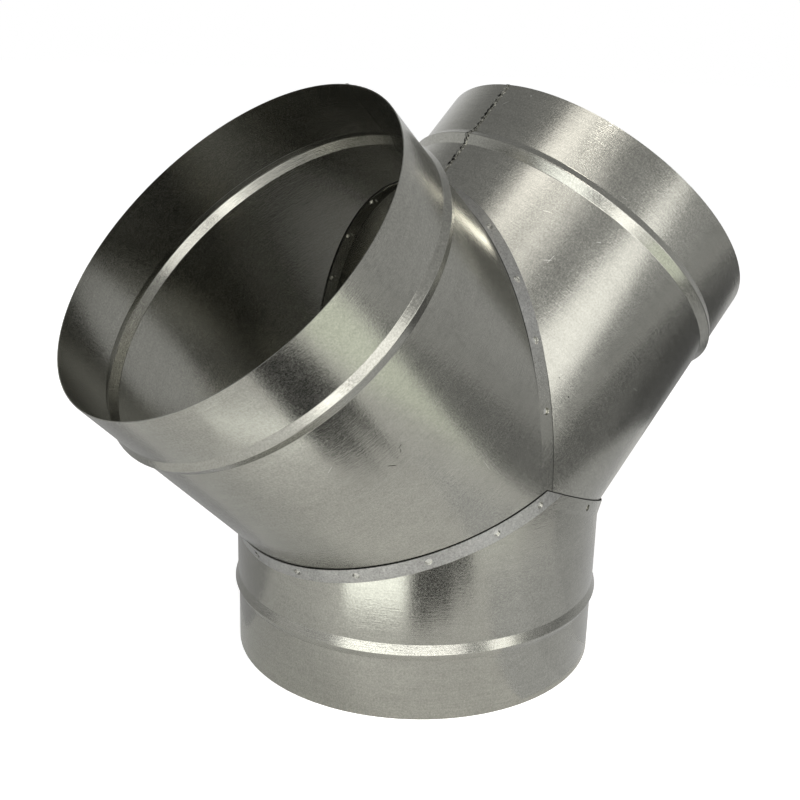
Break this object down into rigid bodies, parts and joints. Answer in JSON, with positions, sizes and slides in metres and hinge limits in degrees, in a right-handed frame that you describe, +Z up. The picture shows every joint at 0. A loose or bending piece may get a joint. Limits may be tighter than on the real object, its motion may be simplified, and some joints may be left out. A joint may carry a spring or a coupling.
{
  "type": "duct y branch",
  "caption": "Galvanised sheet-steel duct y branch: one round collar below splits into two equal round branches set at right angles, each with a rolled stop bead.",
  "frame": {"origin": "centre of the inlet collar's open mouth, which is the ring that the part stands on", "axes": "+Z up along the collar's axis, +X from the left branch to the right branch, so the three tube axes lie in the XZ plane and meet 0.14 m above the origin"},
  "size_m": [0.4824, 0.2544, 0.3815],
  "materials": {
    "galvanised_collar": "galvanised, fine grain round the tube",
    "galvanised_left": "galvanised, fine grain round the tube",
    "galvanised_right": "galvanised, fine grain round the tube"
  },
  "bodies": {
    "root": {"inlet_collar": "galvanised_collar", "left_branch": "galvanised_left", "right_branch": "galvanised_right"}
  },
  "joints": []
}
